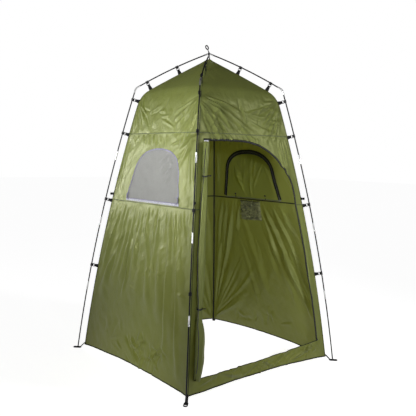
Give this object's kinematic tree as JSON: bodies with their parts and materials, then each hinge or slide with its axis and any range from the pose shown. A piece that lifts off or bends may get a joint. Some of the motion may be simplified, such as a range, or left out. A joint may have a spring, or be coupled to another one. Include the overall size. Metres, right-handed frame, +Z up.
{
  "type": "privacy shower tent",
  "caption": "Tall square privacy tent for showering or changing: outside pole frame with clipped fabric body, D-shaped door rolled aside, arched mesh windows and an apex ring.",
  "frame": {"origin": "centre of the ground area, on the ground", "axes": "+Z up, the door faces -Y, the windows are in the walls at -X and +X"},
  "size_m": [1.3438, 1.3438, 2.1628],
  "materials": {
    "fabric_olive": "satin",
    "pole_fibreglass": "satin",
    "ferrule_silver": "satin",
    "webbing_black": "matte",
    "plastic_black": "satin",
    "zip_black": "matte",
    "slider_metal": "satin",
    "window_mesh_grey": "matte",
    "elastic_cord": "matte",
    "pocket_mesh": "matte"
  },
  "bodies": {
    "tent": {"apex_elbow_lower": "ferrule_silver", "apex_elbow_upper": "ferrule_silver", "corner_webbing_back_left": "webbing_black", "corner_webbing_back_right": "webbing_black", "corner_webbing_front_left": "webbing_black", "corner_webbing_front_right": "webbing_black", "door_zip": "zip_black", "ground_ring_back_left": "plastic_black", "ground_ring_back_right": "plastic_black", "ground_ring_front_left": "plastic_black", "ground_ring_front_right": "plastic_black", "knee_elbow_back_left": "ferrule_silver", "knee_elbow_back_right": "ferrule_silver", "knee_elbow_front_left": "ferrule_silver", "knee_elbow_front_right": "ferrule_silver", "leg_back_left_tube_1": "pole_fibreglass", "leg_back_left_tube_2": "pole_fibreglass", "leg_back_left_tube_3": "pole_fibreglass", "leg_back_left_tube_4": "pole_fibreglass", "leg_back_right_tube_1": "pole_fibreglass", "leg_back_right_tube_2": "pole_fibreglass", "leg_back_right_tube_3": "pole_fibreglass", "leg_back_right_tube_4": "pole_fibreglass", "leg_front_left_tube_1": "pole_fibreglass", "leg_front_left_tube_2": "pole_fibreglass", "leg_front_left_tube_3": "pole_fibreglass", "leg_front_left_tube_4": "pole_fibreglass", "leg_front_right_tube_1": "pole_fibreglass", "leg_front_right_tube_2": "pole_fibreglass", "leg_front_right_tube_3": "pole_fibreglass", "leg_front_right_tube_4": "pole_fibreglass", "pocket": "pocket_mesh", "roof_gore_back": "fabric_olive", "roof_gore_front": "fabric_olive", "roof_gore_left": "fabric_olive", "roof_gore_right": "fabric_olive", "roof_tube_back_left": "pole_fibreglass", "roof_tube_back_right": "pole_fibreglass", "roof_tube_front_left": "pole_fibreglass", "roof_tube_front_right": "pole_fibreglass", "shock_cord_lower": "elastic_cord", "shock_cord_upper": "elastic_cord", "wall_back": "fabric_olive", "wall_front_lower": "fabric_olive", "wall_front_upper": "fabric_olive", "wall_left": "fabric_olive", "wall_right": "fabric_olive", "window_mesh_left": "window_mesh_grey", "window_mesh_right": "window_mesh_grey", "window_zip_left": "zip_black", "window_zip_right": "zip_black"},
    "door_roll": {"door_roll": "fabric_olive", "door_tie_lower": "webbing_black", "door_tie_upper": "webbing_black"},
    "door_slider": {"door_slider": "slider_metal"},
    "window_slider_left": {"window_slider_left": "slider_metal"},
    "window_slider_right": {"window_slider_right": "slider_metal"},
    "window_flap_left": {"window_flap_left": "fabric_olive"},
    "window_flap_right": {"window_flap_right": "fabric_olive"},
    "apex_ring": {"apex_ring": "plastic_black"}
  },
  "joints": [
    {"name": "door_zip_run", "type": "slide", "parent": "tent", "child": "door_slider", "axis": [1, 0, 0], "range_m": [0, 0.25]},
    {"name": "left_window_zip_run", "type": "slide", "parent": "tent", "child": "window_slider_left", "axis": [0.1659, -0.2413, 0.9562], "range_m": [0, 0.165]},
    {"name": "right_window_zip_run", "type": "slide", "parent": "tent", "child": "window_slider_right", "axis": [-0.1659, 0.2413, 0.9562], "range_m": [0, 0.165]},
    {"name": "left_flap_fold", "type": "hinge", "parent": "tent", "child": "window_flap_left", "pos_m": [-0.46253, -0.014, 1.096], "axis": [0, -1, 0], "range_deg": [0, 165]},
    {"name": "right_flap_fold", "type": "hinge", "parent": "tent", "child": "window_flap_right", "pos_m": [0.46253, 0.028, 1.096], "axis": [0, -1, 0], "range_deg": [0, 142]},
    {"name": "door_roll_swing", "type": "hinge", "parent": "tent", "child": "door_roll", "pos_m": [-0.55993, -0.60093, 0.13], "axis": [0.1434, 0.1434, 0.9792], "range_deg": [-10, 6]},
    {"name": "apex_ring_swing", "type": "hinge", "parent": "tent", "child": "apex_ring", "pos_m": [0, 0, 2.11195], "axis": [0.7071, 0.7071, 0], "range_deg": [-35, 75]}
  ]
}
